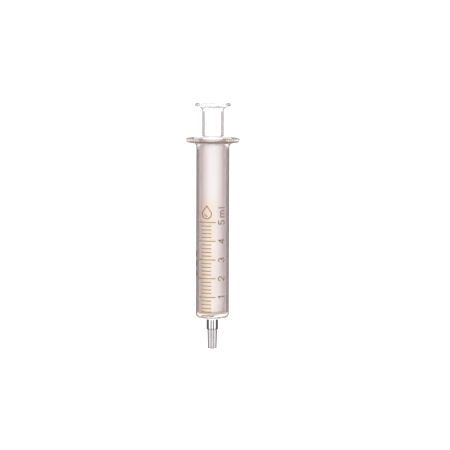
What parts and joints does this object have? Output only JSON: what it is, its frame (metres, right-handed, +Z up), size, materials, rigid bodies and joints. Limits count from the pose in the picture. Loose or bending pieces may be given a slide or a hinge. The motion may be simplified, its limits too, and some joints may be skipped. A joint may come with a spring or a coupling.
{
  "type": "oral syringe",
  "caption": "All-glass syringe with a ground glass plunger, round finger flange, round thumb disc, tapered luer nozzle and an amber volume scale with numerals.",
  "frame": {"origin": "centre of the nozzle's end face", "axes": "+Z up the syringe's axis from the nozzle to the thumb disc; the scale faces -Y, with its numerals towards +X"},
  "size_m": [0.0242, 0.0242, 0.11],
  "materials": {
    "clear_glass": "clear, fire polished",
    "ground_glass": "ground, frosted",
    "amber_enamel": "fired amber enamel"
  },
  "bodies": {
    "barrel": {"barrel_tube": "clear_glass", "finger_flange": "clear_glass", "nozzle_stem": "clear_glass", "luer_cone": "ground_glass", "droplet": "amber_enamel", "numeral_1": "amber_enamel", "numeral_2": "amber_enamel", "numeral_3": "amber_enamel", "numeral_4": "amber_enamel", "numeral_5": "amber_enamel", "scale_line_0_0_ml": "amber_enamel", "scale_line_0_2_ml": "amber_enamel", "scale_line_0_4_ml": "amber_enamel", "scale_line_0_6_ml": "amber_enamel", "scale_line_0_8_ml": "amber_enamel", "scale_line_1_0_ml": "amber_enamel", "scale_line_1_2_ml": "amber_enamel", "scale_line_1_4_ml": "amber_enamel", "scale_line_1_6_ml": "amber_enamel", "scale_line_1_8_ml": "amber_enamel", "scale_line_2_0_ml": "amber_enamel", "scale_line_2_2_ml": "amber_enamel", "scale_line_2_4_ml": "amber_enamel", "scale_line_2_6_ml": "amber_enamel", "scale_line_2_8_ml": "amber_enamel", "scale_line_3_0_ml": "amber_enamel", "scale_line_3_2_ml": "amber_enamel", "scale_line_3_4_ml": "amber_enamel", "scale_line_3_6_ml": "amber_enamel", "scale_line_3_8_ml": "amber_enamel", "scale_line_4_0_ml": "amber_enamel", "scale_line_4_2_ml": "amber_enamel", "scale_line_4_4_ml": "amber_enamel", "scale_line_4_6_ml": "amber_enamel", "scale_line_4_8_ml": "amber_enamel", "scale_line_5_0_ml": "amber_enamel", "side_dash_1": "amber_enamel", "side_dash_2": "amber_enamel", "side_dash_3": "amber_enamel", "unit_letter_l": "amber_enamel", "unit_letter_m": "amber_enamel"},
    "plunger": {"plunger_body": "ground_glass", "plunger_neck": "clear_glass", "thumb_disc": "clear_glass"}
  },
  "joints": [
    {"name": "plunger_slide", "type": "slide", "parent": "barrel", "child": "plunger", "axis": [0, 0, 1], "range_m": [0, 0.06]}
  ]
}
